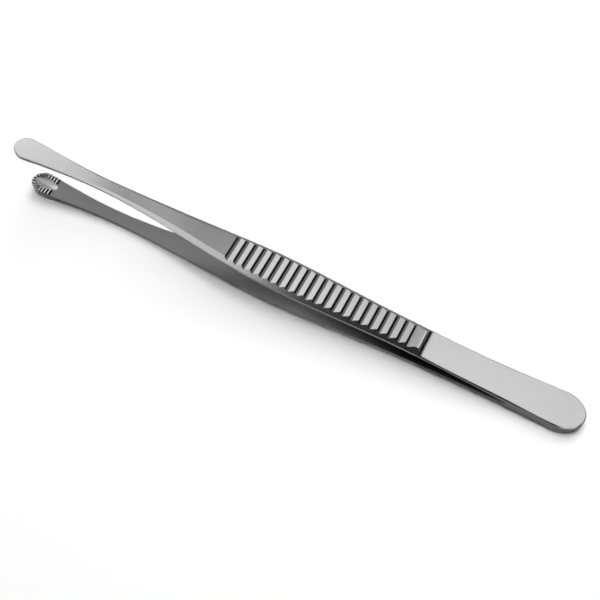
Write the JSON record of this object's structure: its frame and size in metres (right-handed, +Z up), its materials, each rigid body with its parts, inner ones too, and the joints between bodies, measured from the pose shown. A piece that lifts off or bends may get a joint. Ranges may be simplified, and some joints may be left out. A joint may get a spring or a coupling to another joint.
{
  "type": "thumb forceps",
  "caption": "Tissue thumb forceps: two sprung steel arms welded at a rounded heel, with grooved grips, slim shanks and round cupped jaws with toothed rims.",
  "frame": {"origin": "middle of the bounding box in plan, at the level of the surface that the instrument lies on", "axes": "+X from the jaws to the heel along the longest extent, +Y across the arms, +Z up"},
  "size_m": [0.2004, 0.012, 0.0245],
  "materials": {
    "satin_steel": "satin"
  },
  "bodies": {
    "root": {"upper_arm": "satin_steel", "lower_arm": "satin_steel"}
  },
  "joints": []
}
